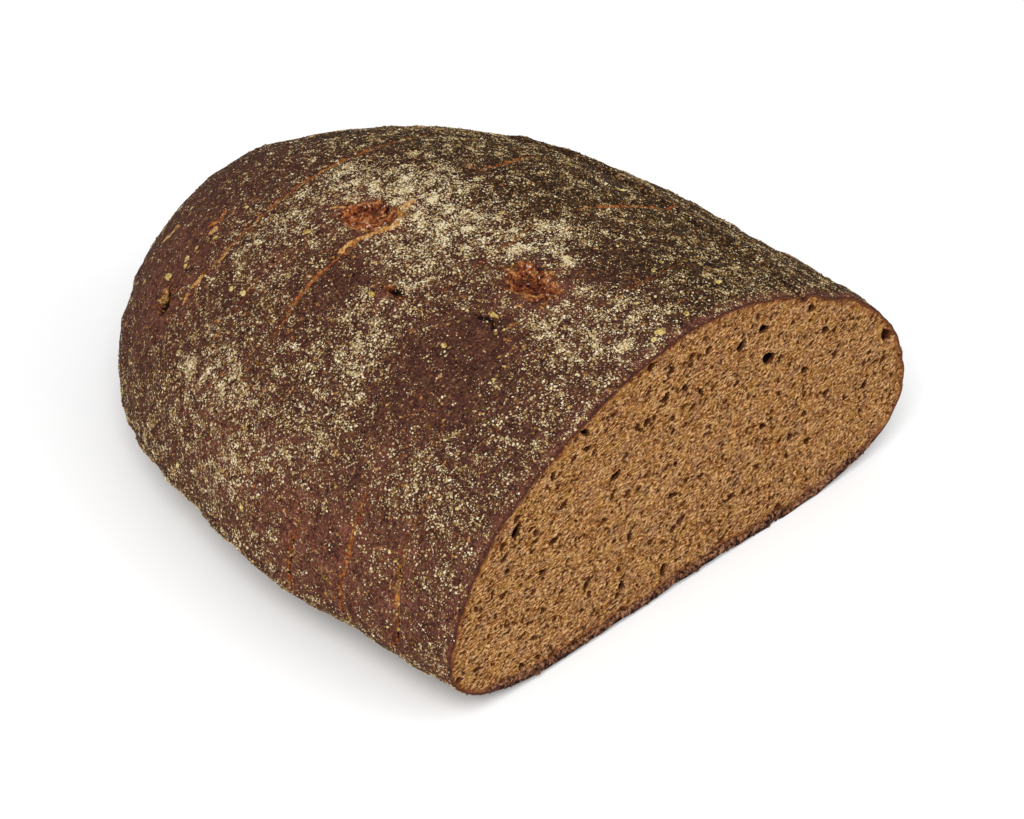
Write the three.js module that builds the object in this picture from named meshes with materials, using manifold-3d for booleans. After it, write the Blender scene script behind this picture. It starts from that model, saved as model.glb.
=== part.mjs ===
import * as THREE from 'three';
import { mergeVertices } from 'three/addons/utils/BufferGeometryUtils.js';
import Module from 'manifold-3d';

// A rye hearth loaf, cut straight across with a knife. The larger part is kept, as one solid.
// Millimetres, +Z up. While the loaf is shaped, the knife cut is the plane y = 0 and +Y runs
// along the loaf to its round end. At the end it moves so that its origin is under its middle.

// The whole form
const loafWidth = 150;
const crownHeight = 70.1; // above the hearth, before the base settles
const keptLength = 158.5; // from the cut to the round end
const middleFromCut = 39; // the station where the loaf is widest and highest
const widestLevel = 16.2; // height of the widest line at that station
const endLevelShare = 0.58; // share of that height left at the round end
const baseSettle = 0.45; // how far the base has settled flat on the hearth

// Roundness of the section, as powers of a superellipse
const domeSidePower = 1.7;
const domeTopPower = 2.13;
const baseSidePower = 4.8;
const baseBottomPower = 1.6;

// Taper along the loaf: the share at a station is (1 - t^power)^(1 / root)
const planTaper = { power: 2.46, root: 2 };
const crownTaper = { power: 2.7, root: 2.73 };
const baseTaper = { power: 4.7, root: 1.6 };

// The underside is slightly hollow at the cut end
const baseHollow = { centre: -10, halfWidth: 38, rise: 1.5, reach: 40 };

// Broad swells (rise above 0) and dents (below 0) of the crust
const swells = [
  { at: [-74, 47, 12], rise: 0.7, spread: 10 }, // low swell on the left flank
  { at: [-71, 85, 17], rise: -1.8, spread: 15 }, // dent on the left flank
  { at: [-75, 24, 15], rise: -0.9, spread: 16 }, // flat on the front of the left flank
  { at: [-36, 136, 38], rise: -0.6, spread: 11 }, // flat on the far left shoulder
  { at: [8, 128, 57], rise: -1.7, spread: 17 }, // flat on the far shoulder
  { at: [51, 30, 54], rise: -1.2, spread: 26 }, // flat on the right shoulder
  { at: [44, 0, 56], rise: -1.0, spread: 12 }, // dip of the right shoulder at the cut
  { at: [72, 0, 30], rise: 0.5, spread: 9 }, // swell of the right flank at the cut
  { at: [62, 0, 6], rise: 1.1, spread: 9 }, // swell of the low right flank at the cut
];

// Slow unevenness of the hand-shaped dough
const unevenness = { height: 0.3, waveAcross: 15, waveAlong: 19 };

// Angles round the section, in degrees: 0 at the right side, 90 at the crown, 180 at the left
const cracks = [
  { station: 48, drift: -3, from: 159, to: 198, width: 1.5, depth: 0.9 }, // first flank slit
  { station: 33, drift: -2, from: 156, to: 187, width: 1.3, depth: 0.8 }, // second flank slit
  { station: 17, drift: -3, from: 157, to: 186, width: 1.5, depth: 0.9 }, // third flank slit
  { station: 78.6, drift: 0.4, from: 111, to: 137, width: 1.3, depth: 0.6 }, // left middle crack
  { station: 77, drift: 0, from: 80, to: 59, width: 1.2, depth: 0.5 }, // right middle crack
  { station: 50, drift: -6, from: 77, to: 46, width: 1.5, depth: 0.6 }, // right front crack
  { station: 103, drift: 7, from: 62, to: 147, width: 1.4, depth: 0.6 }, // long far crack
  { station: 117, drift: 1, from: 121, to: 128, width: 1.2, depth: 0.5 }, // short far crack
];
const crackSteps = 9;
const crackSides = 6;
const crackBend = { reach: 0.9, turns: 9 }; // how a crack wanders along the loaf
const crackLift = 0.4; // height of a crack's widest line above the crust

// Holes that the baker's docking stick left, torn and shallow after the oven
const dockingHoles = [
  { x: -16.5, y: 82.2, long: 15.5, wide: 9.8, turn: 98, depth: 2.4 },
  { x: -12.3, y: 36, long: 15.5, wide: 8.8, turn: 85, depth: 2.0 },
];

// Small pits in the crust, on the dome above (x, y)
const pits = [
  { x: -48, y: 116, long: 5, wide: 3, turn: 35, depth: 1.8 },
  { x: -30.6, y: 59.6, long: 4.2, wide: 2, turn: 88, depth: 1.1 },
  { x: -26, y: 36, long: 5, wide: 2, turn: 88, depth: 0.9 },
  { x: 36, y: 1.2, long: 3.6, wide: 1.8, turn: 85, depth: 1.4 },
];

// Bran flakes baked onto the crust, on the dome above (x, y)
const branFlakes = [
  { x: -26.5, y: 92.3, long: 3.6, wide: 2.6, turn: 10, height: 0.45 },
  { x: -44.5, y: 93.6, long: 2.8, wide: 2.2, turn: 60, height: 0.4 },
  { x: -43, y: 121.4, long: 2.8, wide: 1.8, turn: 75, height: 0.4 },
  { x: -34.3, y: 63.8, long: 2.6, wide: 2.2, turn: 0, height: 0.4 },
  { x: -24.2, y: 36.2, long: 4.2, wide: 1.4, turn: 88, height: 0.6 },
  { x: -7.1, y: 5.6, long: 4.6, wide: 2.8, turn: -30, height: 0.4 },
  { x: 34.7, y: 54.7, long: 3.4, wide: 1.6, turn: -40, height: 0.5 },
  { x: -73, y: 63.6, long: 3.4, wide: 2.0, turn: 80, height: 0.5 },
];

// The largest pores that the knife opened, at (x, z) on the cut
const largePores = [
  { x: 24, z: 49.5, wide: 2.8, tall: 3.0 },
  { x: 28.5, z: 47.2, wide: 1.6, tall: 2.0 },
  { x: 21.7, z: 58.2, wide: 2.0, tall: 2.6 },
  { x: 15, z: 57.3, wide: 2.4, tall: 2.0 },
  { x: 37.5, z: 56.3, wide: 1.6, tall: 1.5 },
  { x: 65.1, z: 35.3, wide: 2.0, tall: 2.8 },
  { x: 58.4, z: 25, wide: 1.4, tall: 2.6 },
  { x: 47, z: 39, wide: 1.6, tall: 1.8 },
  { x: 46.5, z: 45.5, wide: 1.4, tall: 1.6 },
  { x: -2.6, z: 55.1, wide: 1.6, tall: 1.6 },
  { x: 0, z: 48.6, wide: 2.0, tall: 1.2 },
  { x: -23.7, z: 42.9, wide: 2.8, tall: 2.2 },
  { x: -24.8, z: 38.5, wide: 1.8, tall: 1.8 },
  { x: -3.6, z: 18.8, wide: 1.5, tall: 4.4 },
  { x: -53.6, z: 44.7, wide: 2.2, tall: 4.6 },
  { x: -42.2, z: 36.3, wide: 2.2, tall: 2.6 },
  { x: -57, z: 39.8, wide: 1.8, tall: 2.0 },
];
const poreDepthShare = 0.75; // depth of a pore, as a share of its width
const poreLean = 0.6; // how far a tall pore leans towards +X, in radians

// Smaller pores, scattered by a seeded rule
const smallPores = { count: 70, least: 0.9, most: 1.8, fromCrust: 4, apart: 5.2, seed: 11 };

// Fineness of the loft
const sectionPoints = 72;
const stationCount = 40;

const crustLook = { color: 0x4a3226, roughness: 0.85, metalness: 0 };

const manifoldLibrary = await Module();
manifoldLibrary.setup();

function taperShare(station, taper) {
  const t = (station - middleFromCut) / (keptLength - middleFromCut);
  const left = Math.max(0, 1 - Math.pow(Math.abs(t), taper.power));
  return Math.pow(left, 1 / taper.root);
}

function signedPower(value, power) {
  return Math.sign(value) * Math.pow(Math.abs(value), power);
}

// A point of the plain form, at a station along the loaf and an angle in radians
function formPoint(station, angle) {
  const widthShare = taperShare(station, planTaper);
  const halfWidth = (loafWidth / 2) * widthShare;
  const level = widestLevel * (endLevelShare + (1 - endLevelShare) * widthShare);
  const across = Math.cos(angle);
  const up = Math.sin(angle);
  if (up >= 0) {
    const rise = (crownHeight - widestLevel) * taperShare(station, crownTaper);
    const x = halfWidth * signedPower(across, 2 / domeSidePower);
    return new THREE.Vector3(x, station, level + rise * Math.pow(up, 2 / domeTopPower));
  }
  const drop = level * taperShare(station, baseTaper);
  const x = halfWidth * signedPower(across, 2 / baseSidePower);
  return new THREE.Vector3(x, station, level - drop * Math.pow(-up, 2 / baseBottomPower));
}

// Outward direction at a point, from the core line inside the loaf
function outwardAt(point) {
  const coreEnd = keptLength - loafWidth / 2;
  const core = new THREE.Vector3(point.x * 0.4, Math.min(point.y, coreEnd), widestLevel);
  return point.clone().sub(core).normalize();
}

function swellAt(point) {
  let rise = 0;
  for (const swell of swells) {
    const distance = point.distanceTo(new THREE.Vector3(...swell.at));
    rise += swell.rise * Math.exp(-Math.pow(distance / swell.spread, 2));
  }
  const wave = Math.sin(point.x / unevenness.waveAcross + point.z / unevenness.waveAlong);
  const cross = Math.sin(point.y / unevenness.waveAlong + point.x / (2 * unevenness.waveAcross));
  return rise + unevenness.height * wave * cross;
}

function baseHollowAt(point) {
  if (point.z > widestLevel) {
    return 0;
  }
  const across = Math.abs(point.x - baseHollow.centre) / baseHollow.halfWidth;
  const along = point.y / baseHollow.reach;
  const low = 1 - point.z / widestLevel;
  return baseHollow.rise * low * Math.exp(-Math.pow(across, 4)) * Math.exp(-2 * along * along);
}

// A point of the finished crust: the plain form with its swells and the hollow of the base
function crustPoint(station, angle) {
  const plain = formPoint(station, angle);
  const crust = plain.clone().addScaledVector(outwardAt(plain), swellAt(plain));
  crust.z += baseHollowAt(plain);
  crust.y = station;
  return crust;
}

// Angles that space the points of a section evenly
function evenAngles(count) {
  const fineCount = 10 * count;
  const lengths = [0];
  let last = formPoint(middleFromCut, 0);
  for (let i = 1; i <= fineCount; i += 1) {
    const next = formPoint(middleFromCut, (i / fineCount) * 2 * Math.PI);
    lengths.push(lengths[i - 1] + next.distanceTo(last));
    last = next;
  }
  const angles = [];
  let fine = 0;
  for (let i = 0; i < count; i += 1) {
    const wanted = (i / count) * lengths[fineCount];
    while (lengths[fine + 1] < wanted) {
      fine += 1;
    }
    const part = (wanted - lengths[fine]) / (lengths[fine + 1] - lengths[fine]);
    angles.push(((fine + part) / fineCount) * 2 * Math.PI);
  }
  return angles;
}

// A closed body through rings of equal count, its two ends closed to a middle point
function loft(rings, firstEnd, lastEnd) {
  const count = rings[0].length;
  const positions = [firstEnd, ...rings.flat(), lastEnd].flatMap((point) => point.toArray());
  const lastIndex = rings.length * count + 1;
  const faces = [];
  for (let i = 0; i < count; i += 1) {
    const next = (i + 1) % count;
    faces.push(0, 1 + i, 1 + next);
    for (let ring = 0; ring < rings.length - 1; ring += 1) {
      const near = 1 + ring * count;
      const far = near + count;
      faces.push(near + i, far + i, near + next);
      faces.push(near + next, far + i, far + next);
    }
    const end = 1 + (rings.length - 1) * count;
    faces.push(end + i, lastIndex, end + next);
  }
  const geometry = new THREE.BufferGeometry();
  geometry.setAttribute('position', new THREE.Float32BufferAttribute(positions, 3));
  geometry.setIndex(faces);
  return geometry;
}

function toSolid(geometry) {
  const bare = geometry.clone();
  bare.deleteAttribute('normal');
  bare.deleteAttribute('uv');
  const merged = mergeVertices(bare);
  const mesh = new manifoldLibrary.Mesh({
    numProp: 3,
    vertProperties: new Float32Array(merged.attributes.position.array),
    triVerts: new Uint32Array(merged.index.array),
  });
  return new manifoldLibrary.Manifold(mesh);
}

function toGeometry(solid) {
  const mesh = solid.getMesh();
  const geometry = new THREE.BufferGeometry();
  geometry.setAttribute('position', new THREE.BufferAttribute(mesh.vertProperties, 3));
  geometry.setIndex(new THREE.BufferAttribute(mesh.triVerts, 1));
  geometry.computeVertexNormals();
  return geometry;
}

function loafBody() {
  const angles = evenAngles(sectionPoints);
  const rings = [];
  for (let i = 0; i < stationCount; i += 1) {
    const station = keptLength * Math.sin((i / stationCount) * (Math.PI / 2));
    rings.push(angles.map((angle) => crustPoint(station, angle)));
  }
  const cutMiddle = new THREE.Vector3(0, 0, crownHeight / 2);
  const roundEnd = new THREE.Vector3(0, keptLength, widestLevel * endLevelShare);
  return toSolid(loft(rings, cutMiddle, roundEnd));
}

// Everything above the hearth, so that the base is flat where the loaf stands
function aboveHearth() {
  const room = 2 * keptLength;
  const block = new THREE.BoxGeometry(room, room, room);
  block.translate(0, keptLength / 2, room / 2 + baseSettle);
  return toSolid(block);
}

// Height and outward direction of the dome above (x, y)
function domeAt(x, y) {
  const halfWidth = (loafWidth / 2) * taperShare(y, planTaper);
  const across = signedPower(x / halfWidth, domeSidePower / 2);
  const angle = Math.acos(across);
  const step = 0.01;
  const point = crustPoint(y, angle);
  const along = crustPoint(y + step, angle).sub(point);
  const round = crustPoint(y, angle + step).sub(point);
  return { point, outward: along.cross(round).normalize() };
}

// An oval body centred on the crust, whose halves stand above and below it: it sinks a
// hollow where it is cut away, and raises a low bump where it is joined
function crustOval({ x, y, long, wide, turn }, reach, segments) {
  const { point, outward } = domeAt(x, y);
  const ball = new THREE.SphereGeometry(1, segments, segments / 2);
  ball.rotateX(Math.PI / 2);
  ball.scale(long / 2, wide / 2, reach);
  ball.rotateZ(THREE.MathUtils.degToRad(turn));
  const up = new THREE.Vector3(0, 0, 1);
  ball.applyQuaternion(new THREE.Quaternion().setFromUnitVectors(up, outward));
  ball.translate(point.x, point.y, point.z);
  return toSolid(ball);
}

// A groove that narrows to both ends and follows the crust round the section
function crackGroove({ station, drift, from, to, width, depth }) {
  const path = [];
  for (let i = 0; i <= crackSteps; i += 1) {
    const share = i / crackSteps;
    const angle = THREE.MathUtils.degToRad(from + (to - from) * share);
    const wander = crackBend.reach * Math.sin(share * crackBend.turns + station);
    path.push(crustPoint(station + drift * share + wander, angle));
  }
  const rings = [];
  for (let i = 1; i < crackSteps; i += 1) {
    const outward = outwardAt(path[i]);
    const sideways = path[i + 1].clone().sub(path[i - 1]).cross(outward).normalize();
    const swell = Math.sqrt(Math.sin((Math.PI * i) / crackSteps));
    const ring = [];
    for (let side = 0; side < crackSides; side += 1) {
      const turn = (side / crackSides) * 2 * Math.PI;
      const across = (width / 2) * swell * Math.cos(turn);
      const height = crackLift + (depth + crackLift) * swell * Math.sin(turn);
      ring.push(path[i].clone().addScaledVector(sideways, across).addScaledVector(outward, height));
    }
    rings.push(ring);
  }
  return toSolid(loft(rings, path[0], path[crackSteps]));
}

function poreHollow({ x, z, wide, tall, lean = poreLean }, detail) {
  const ball = new THREE.IcosahedronGeometry(1, detail);
  ball.scale(wide / 2, wide * poreDepthShare, tall / 2);
  ball.rotateY(lean);
  ball.translate(x, 0, z);
  return toSolid(ball);
}

// A repeatable row of random numbers between 0 and 1
function seededRandom(seed) {
  const factor = 16807;
  const period = 2147483647;
  let state = seed;
  return () => {
    state = (state * factor) % period;
    return state / period;
  };
}

// Whether a place on the cut lies well inside the crust
function insideCut(x, z, margin) {
  const rise = (z - widestLevel) / (crownHeight - widestLevel - margin);
  const across = Math.abs(x) / (loafWidth / 2 - margin);
  const round = Math.pow(Math.max(0, rise), domeTopPower) + Math.pow(across, domeSidePower);
  return round < 1 && z > 2 * margin;
}

function scatteredPores() {
  const random = seededRandom(smallPores.seed);
  const placed = [];
  const tryLimit = 40 * smallPores.count;
  for (let tries = 0; tries < tryLimit && placed.length < smallPores.count; tries += 1) {
    const x = (random() - 0.5) * loafWidth;
    const z = random() * crownHeight;
    const size = THREE.MathUtils.lerp(smallPores.least, smallPores.most, random() ** 2);
    const near = [...placed, ...largePores];
    const free = near.every((pore) => Math.hypot(pore.x - x, pore.z - z) > smallPores.apart);
    if (free && insideCut(x, z, smallPores.fromCrust)) {
      placed.push({ x, z, wide: size, tall: size * (1 + 0.6 * random()), lean: Math.PI * random() });
    }
  }
  return placed;
}

function cutAll(body, tools) {
  return tools.reduce((left, tool) => left.subtract(tool), body);
}

function joinAll(body, additions) {
  return additions.reduce((whole, addition) => whole.add(addition), body);
}

let loaf = loafBody().intersect(aboveHearth());
loaf = cutAll(loaf, dockingHoles.map((hole) => crustOval(hole, hole.depth, 16)));
loaf = cutAll(loaf, pits.map((pit) => crustOval(pit, pit.depth, 10)));
loaf = cutAll(loaf, cracks.map((crack) => crackGroove(crack)));
loaf = joinAll(loaf, branFlakes.map((flake) => crustOval(flake, flake.height, 8)));
loaf = cutAll(loaf, largePores.map((pore) => poreHollow(pore, 1)));
loaf = cutAll(loaf, scatteredPores().map((pore) => poreHollow(pore, 0)));

const loafGeometry = toGeometry(loaf);
loafGeometry.computeBoundingBox();
const box = loafGeometry.boundingBox;
const middle = box.getCenter(new THREE.Vector3());
loafGeometry.translate(-middle.x, -middle.y, -box.min.z);

const ryeLoaf = new THREE.Mesh(loafGeometry, new THREE.MeshStandardMaterial(crustLook));
ryeLoaf.name = 'rye_bread_loaf';

const model = new THREE.Group();
model.add(ryeLoaf);

export default model;
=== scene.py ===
import math

import bmesh
import bpy
import numpy as np
from mathutils import Euler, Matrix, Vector, noise


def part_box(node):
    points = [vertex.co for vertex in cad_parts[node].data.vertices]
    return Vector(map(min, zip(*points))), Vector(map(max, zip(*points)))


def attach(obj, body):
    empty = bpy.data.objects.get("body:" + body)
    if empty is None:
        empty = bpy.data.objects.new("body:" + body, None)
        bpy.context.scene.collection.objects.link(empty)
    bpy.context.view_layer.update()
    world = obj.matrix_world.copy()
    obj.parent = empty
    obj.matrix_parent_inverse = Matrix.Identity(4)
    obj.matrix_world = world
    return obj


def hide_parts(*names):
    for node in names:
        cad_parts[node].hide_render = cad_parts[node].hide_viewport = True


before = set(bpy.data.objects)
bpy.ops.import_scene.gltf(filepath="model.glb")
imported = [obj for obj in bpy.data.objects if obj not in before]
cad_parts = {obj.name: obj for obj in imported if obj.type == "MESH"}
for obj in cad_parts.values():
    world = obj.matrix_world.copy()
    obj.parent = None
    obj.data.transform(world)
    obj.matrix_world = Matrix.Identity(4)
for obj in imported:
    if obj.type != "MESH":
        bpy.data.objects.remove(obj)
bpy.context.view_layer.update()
print("frame loaded")

# the form in mm: while it is shaped, y = 0 is the knife cut and +y runs to the round end
form = {
    "width": 150,
    "crown": 70.1,
    "kept": 158.5,
    "middle": 39,  # the widest and highest station
    "level": 16.2,  # height of the widest line there
    "endLevelShare": 0.58,
    "settle": 0.45,  # how far the base has settled flat
    "domeSide": 1.7,  # powers of the section's roundness
    "domeTop": 2.13,
    "baseSide": 4.8,
    "baseBottom": 1.6,
    "planTaper": (2.46, 2),
    "crownTaper": (2.7, 2.73),
    "baseTaper": (4.7, 1.6),
    "hollowMiddle": -10,  # the underside is a little hollow at the cut
    "hollowHalfWidth": 38,
    "hollowRise": 1.5,
    "hollowReach": 40,
    "unevenness": (0.3, 15, 19),  # height, wave across, wave along
    "swells": [  # place, rise, spread
        ((-74, 47, 12), 0.7, 10),
        ((-71, 85, 17), -1.8, 15),
        ((-75, 24, 15), -0.9, 16),
        ((-36, 136, 38), -0.6, 11),
        ((8, 128, 57), -1.7, 17),
        ((51, 30, 54), -1.2, 26),
        ((44, 0, 56), -1.0, 12),
        ((72, 0, 30), 0.5, 9),
        ((62, 0, 6), 1.1, 9),
    ],
}


def taperShare(station, powers):
    t = np.abs((station - form["middle"]) / (form["kept"] - form["middle"]))
    return np.maximum(0, 1 - t ** powers[0]) ** (1 / powers[1])


def signedPower(value, power):
    return np.sign(value) * np.abs(value) ** power


def unit(directions):
    return directions / np.linalg.norm(directions, axis=-1, keepdims=True)


# from low to high by a share
def between(low, high, share):
    return low + (high - low) * share


# points of the plain form, at stations along the loaf and angles round the section
def formPoints(station, angle):
    widthShare = taperShare(station, form["planTaper"])
    halfWidth = form["width"] / 2 * widthShare
    level = form["level"] * (form["endLevelShare"] + (1 - form["endLevelShare"]) * widthShare)
    across, up = np.cos(angle), np.sin(angle)
    isDome = up >= 0
    side = np.where(isDome, 2 / form["domeSide"], 2 / form["baseSide"])
    x = halfWidth * signedPower(across, side)
    rise = (form["crown"] - form["level"]) * taperShare(station, form["crownTaper"])
    drop = level * taperShare(station, form["baseTaper"])
    domeZ = rise * np.abs(up) ** (2 / form["domeTop"])
    baseZ = -drop * np.abs(up) ** (2 / form["baseBottom"])
    z = level + np.where(isDome, domeZ, baseZ)
    return np.stack([x, station + 0 * angle, z], axis=-1)


def outwardAt(points):
    core = points.copy()
    core[..., 0] *= 0.4
    core[..., 1] = np.minimum(points[..., 1], form["kept"] - form["width"] / 2)
    core[..., 2] = form["level"]
    return unit(points - core)


def swellAt(points):
    rise = np.zeros(points.shape[:-1])
    for place, height, spread in form["swells"]:
        distance = np.linalg.norm(points - np.array(place), axis=-1)
        rise += height * np.exp(-((distance / spread) ** 2))
    height, across, along = form["unevenness"]
    x, y, z = np.moveaxis(points, -1, 0)
    return rise + height * np.sin(x / across + z / along) * np.sin(y / along + x / (2 * across))


def baseHollowAt(points):
    x, y, z = np.moveaxis(points, -1, 0)
    across = np.abs(x - form["hollowMiddle"]) / form["hollowHalfWidth"]
    low = np.maximum(0, 1 - z / form["level"])
    along = y / form["hollowReach"]
    return form["hollowRise"] * low * np.exp(-(across ** 4)) * np.exp(-2 * along ** 2)


# points of the crust before its fine relief
def crustPoints(station, angle):
    plain = formPoints(station, angle)
    points = plain + outwardAt(plain) * swellAt(plain)[..., None]
    points[..., 2] += baseHollowAt(plain)
    points[..., 1] = plain[..., 1]
    return points


cadLow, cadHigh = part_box("rye_bread_loaf")
rowShift = np.array([0, cadHigh.y * 1000, form["settle"]])  # the loaf's origin while it is shaped


def toMetres(points):
    return (np.asarray(points) - rowShift) / 1000


# smooth step that also runs downwards
def smoothStep(low, high, value):
    t = np.clip((value - low) / (high - low), 0, 1)
    return t * t * (3 - 2 * t)


# fractal noise at points in millimetres; wave is the size of its largest lumps
def noiseAt(points, wave, octaves=2, shift=0):
    flat = (points.reshape(-1, 3) / wave + shift).tolist()
    values = [noise.fractal(p, 1.0, 2.0, octaves) for p in flat]
    return np.array(values).reshape(points.shape[:-1])


shot = {
    "azimuth": -45,
    "elevation": 36.3,
    "distance": 830,
    "lens": 128,
    "sensor": 36,
    "clip": (0.05, 20),
    "middle": (0, 80, 35),
    "right": 18.1,
    "up": -23.3,
}


def linkNew(name, data):
    obj = bpy.data.objects.new(name, data)
    bpy.context.scene.collection.objects.link(obj)
    return obj


def setCamera():
    turn = Euler((math.radians(90 - shot["elevation"]), 0, math.radians(shot["azimuth"])))
    right, up, back = turn.to_matrix().col
    aim = Vector(shot["middle"]) + right * shot["right"] + up * shot["up"]
    data = bpy.data.cameras.new("camera")
    data.lens = shot["lens"]
    data.sensor_width = shot["sensor"]
    data.clip_start, data.clip_end = shot["clip"]
    camera = linkNew("camera", data)
    camera.location = Vector(toMetres(aim + back * shot["distance"]))
    camera.rotation_euler = turn
    bpy.context.scene.camera = camera


setCamera()
print("camera set")


crust = {
    "domeStep": 0.66,  # spacing of the mesh round the dome
    "baseStep": 3.0,
    "rowStep": 0.74,  # spacing along the loaf
    "farRowStep": 1.05,
    "farFrom": 126,
    "domeFrom": -14,  # angles between which the crust counts as dome
    "domeTo": 194,
    "rimThickness": 0.6,
    "baseThickness": 2.2,
    "wallDepth": 3.0,  # how far behind the cut the crust ring reaches
    "lumps": (0.32, 8),  # height and wave of the crust's lumps
    "flankLumps": 1.3,  # how much higher they are on the flanks
    "grain": (0.17, 2.4),
    "baseGrain": (0.42, 1.9),
    "baseGrainTop": 7,
    "notch": (1.5, 4.5),  # depth and wave of the ragged base edge at the cut
    "holeEdge": (0.34, 3.6),  # raggedness and wave of a docking hole's edge
    "holeFloor": (1.1, 2.4),  # roughness and wave of its torn floor
    "pitEdge": (0.25, 1.6),
}


# a dictionary for each row of values, under the header's names
def rowsOf(header, *rows):
    return [dict(zip(header.split(), row)) for row in rows]


# x and y are above the dome; slot: middle and reach of a slot painted dark with shade, in half lengths
# and half widths
dockingHoles = rowsOf(
    "x y long wide turn depth shade slot",
    (-16.5, 82.2, 15.5, 9.8, 98, 1.9, 0, (-0.2, -0.85, 0.13, 0.17)),
    (-12.3, 36, 15.5, 8.8, 85, 1.9, 0.62, (0.52, -0.55, 0.14, 0.16)),
)

# halo: how torn the crust is round a pit
pits = rowsOf(
    "x y long wide turn depth halo",
    (-48.6, 116, 7.4, 3.8, 30, 3.0, 0.6),
    (-30.6, 59.6, 4.6, 1.7, 88, 1.15, 0.8),
    (36, 1.2, 3.6, 1.8, 85, 1.4, 0.3),
    (-35.5, 93.5, 2.2, 1.2, 60, 0.7, 0.4),
    (-64.5, 80.9, 2.0, 1.2, 20, 0.6, 0),
    (-31.5, 71.5, 1.6, 0.9, 60, 0.5, 0.3),
)

# torn lips that stand up, a thin cut painted dark with shade, and a crack with a rounded band outside
# it, each along places of aside, in mm left of the crown along the crust, and mm from the cut
creases = rowsOf(
    "mark wide height line",
    ("lip", 1.0, 0.4, [(8.1, 78), (10.2, 77.3), (11.5, 77.6), (12.8, 77.2)]),
    ("lip", 1.0, 0.7, [(13.6, 76.4), (14.9, 75), (16.9, 74.5), (19.3, 75.4)]),
    ("lip", 0.7, 0.5, [(19.3, 75.4), (20.8, 76.6), (23.9, 78.7), (27.3, 79.7), (29.6, 79.6)]),
    ("lip", 0.4, 0.5, [(22.6, 81.6), (21.7, 80.3), (21.2, 78.7)]),
    ("lip", 0.5, 0.3, [(20, 92.3), (19, 91.2), (18.3, 89.8)]),
    ("lip", 0.55, 0.35, [(14.6, 34), (16.2, 35.6), (16.6, 38.4)]),
    ("lip", 0.55, 0.2, [(44.9, 107.6), (47.3, 107.5)]),
    ("lip", 0.35, 0.15, [(53.4, 109.4), (57, 109.6)]),
    ("lip", 0.6, 0.2, [(59, 109.2), (61.5, 108.7)]),
    ("lip", 0.6, 0.2, [(54.5, 136.5), (50.6, 135.2), (46.1, 134.3)]),
    ("lip", 0.7, 0.25, [(42.1, 117.9), (40, 117.8)]),
    ("lip", 0.5, 0.2, [(63, 118), (66, 118.4)]),
    ("dark", 0.75, -1.1, [(26.6, 38.2), (25.6, 36.4), (26, 34.6), (27.2, 33.4)]),
    ("", 0.9, -1.0, [(-37.5, 0), (-39.5, 20), (-43, 50), (-46.5, 85), (-47, 108)]),
    ("", 3.4, 0.7, [(-42, 0), (-44.5, 25), (-48, 60), (-51, 95)]),
)
creaseEdge = {"lip": (1.5, 0.3), "dark": (1.3, 0.5)}  # where a mark ends and is full, in widths

# angles: 0 at the right side, 90 at the crown, 180 at the left
# core: how much painted shade lies along a slit's middle
slits = rowsOf(
    "station drift from to width depth glow core",
    (48, -3, 159, 200, 1.5, 1.4, 1.0, 1.0),
    (33, -2, 146, 190, 1.1, 1.0, 0.9, 0.4),
    (18.3, -3.2, 146, 192, 1.3, 1.2, 1.0, 1.0),
    (79.2, -0.6, 110, 141, 1.1, 0.5, 0.8, 0.3),
    (77, 0.5, 80, 57, 1.3, 0.5, 0.75, 0.2),
    (50, -6, 77, 44, 1.5, 0.6, 1.0, 0.3),
    (103, 7, 58, 148, 1.1, 0.5, 0.6, 0.1),
    (120, 0.4, 119, 127, 1.1, 0.4, 0.9, 0),
    (50.5, -1, 78, 118, 0.9, 0.3, 0.35, 0),
    (20, -1, 70, 104, 0.9, 0.3, 0.3, 0),
    (92, 1, 120, 140, 0.9, 0.3, 0.35, 0),
)
slitBend = {"reach": 0.7, "turns": 9}

# floury and bare places: aside, mm from the cut, their reach both ways, flour gained
flourPatches = [
    (3.6, 79, 11, 12, 0.46),
    (9.6, 97, 7, 7, 0.4),
    (8.6, 60, 9, 11, 0.42),
    (-0.4, 44, 10, 7, 0.5),
    (46.6, 54, 9, 6, 0.34),
    (65.6, 55, 12, 8, 0.14),
    (81.6, 68, 8, 7, 0.22),
    (69.6, 86, 9, 12, 0.25),
    (20.6, 65, 8, 12, 0.25),
    (15.6, 15, 13, 14, 0.24),
    (-23.4, 8, 9, 7, 0.06),
    (63.6, 18, 10, 12, 0.1),
    (30.6, 101, 18, 6, 0.18),
    (35.6, 75, 12, 6, -0.24),
    (40.6, 33, 17, 13, -0.36),
    (-4.4, 28, 11, 8, -0.22),
    (88.6, 30, 14, 27, -0.2),
    (60.6, 121, 18, 11, -0.16),
    (-6.4, 101, 8, 8, -0.15),
    (62, 120, 24, 18, -0.14),
]
flourLevel = {"left": 0.3, "right": 0.23, "end": 0.1, "base": 0.12}
bareEdge = {"left": 0.6, "right": 0.3, "waver": 1.2}  # mm without flour along the cut
flourSpecks = {"right": 0.22, "sparse": 0.5}  # share of painted specks there, grains left out

# places where the crust is redder than elsewhere, in the same way
redPatches = [
    (88, 28, 16, 34, 0.55),
    (92, 47, 18, 3.5, 0.5),
    (84, 32, 20, 3, 0.4),
    (84, 16.5, 20, 3, 0.4),
    (58, 121, 24, 15, 0.6),
    (18, 84, 9, 12, 0.7),
    (13, 33, 9, 11, 0.7),
    (34, 60, 5, 5, 0.7),
    (40, 92, 9, 4, 0.4),
    (62, 32, 10, 6, 0.3),
    (82, 74, 16, 22, 0.55),
]


# angles round the widest section and the lengths between them
def sectionSteps(count):
    fine = np.linspace(-math.pi / 2, 1.5 * math.pi, count)
    points = formPoints(np.full(fine.shape, float(form["middle"])), fine)
    return fine, np.linalg.norm(np.diff(points, axis=0), axis=1)


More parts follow.
